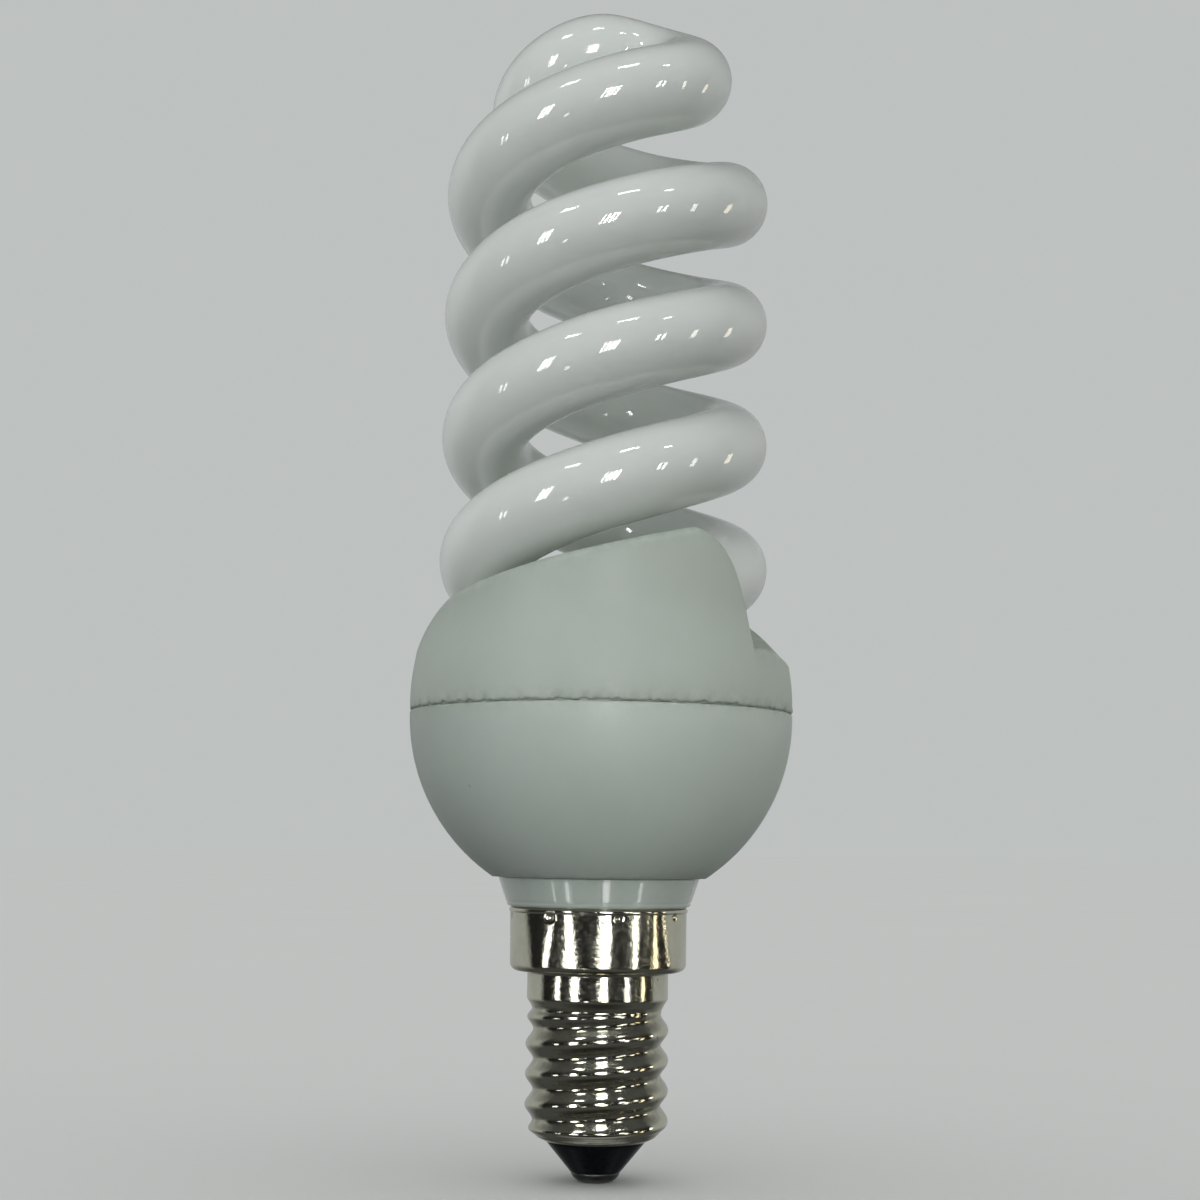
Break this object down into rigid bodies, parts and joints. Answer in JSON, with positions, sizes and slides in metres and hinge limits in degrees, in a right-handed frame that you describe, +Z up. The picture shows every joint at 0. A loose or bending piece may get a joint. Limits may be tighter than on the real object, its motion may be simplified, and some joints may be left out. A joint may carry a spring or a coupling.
{
  "type": "spiral energy saving bulb",
  "caption": "Compact fluorescent bulb: milky double-spiral glass tube on a ball-shaped plastic ballast housing with a small screw cap, lights a small lamp holder.",
  "frame": {"origin": "middle of the centre contact's end face", "axes": "+Z up along the lamp's axis from the contact to the spiral's top, +X to the picture's right"},
  "size_m": [0.0368, 0.0368, 0.1143],
  "materials": {
    "milk_glass": "milky, glossy",
    "cement": "matt",
    "cover_plastic": "satin moulded",
    "housing_plastic": "satin moulded",
    "nickel_sheet": "nickel plated, rolled",
    "black_glass": "black, glossy",
    "contact_metal": "dull",
    "board": "phenolic paper",
    "capacitor_sleeve": "shrink sleeve",
    "ferrite": "sintered",
    "bobbin": "moulded",
    "copper": "enamelled",
    "film_coat": "dipped",
    "component_black": "moulded",
    "diac_glass": "coated",
    "resistor_coat": "coated",
    "fuse_sleeve": "woven sleeve",
    "tinned_wire": "tinned",
    "post_metal": "tinned"
  },
  "bodies": {
    "root": {"centre_contact": "contact_metal", "choke_bobbin": "bobbin", "choke_core": "ferrite", "choke_winding": "copper", "circuit_board": "board", "contact_lead": "tinned_wire", "coupling_capacitor": "film_coat", "diac": "diac_glass", "diode_1": "component_black", "diode_2": "component_black", "diode_3": "component_black", "diode_4": "component_black", "driver_core": "ferrite", "driver_windings": "copper", "electrolytic_capacitor": "capacitor_sleeve", "filament_lead_1": "tinned_wire", "filament_lead_2": "tinned_wire", "filament_lead_3": "tinned_wire", "filament_lead_4": "tinned_wire", "filter_capacitor": "film_coat", "fuse_lead": "tinned_wire", "fuse_resistor": "fuse_sleeve", "glass_tube": "milk_glass", "insulator": "black_glass", "lower_housing": "housing_plastic", "resistor_1": "resistor_coat", "resistor_2": "resistor_coat", "resistor_3": "resistor_coat", "resonant_capacitor": "film_coat", "screw_shell": "nickel_sheet", "shell_lead": "tinned_wire", "transistor_1": "component_black", "transistor_2": "component_black", "tube_cement_1": "cement", "tube_cement_2": "cement", "upper_cover": "cover_plastic", "wire_post_1": "post_metal", "wire_post_2": "post_metal", "wire_post_3": "post_metal", "wire_post_4": "post_metal"}
  },
  "joints": []
}
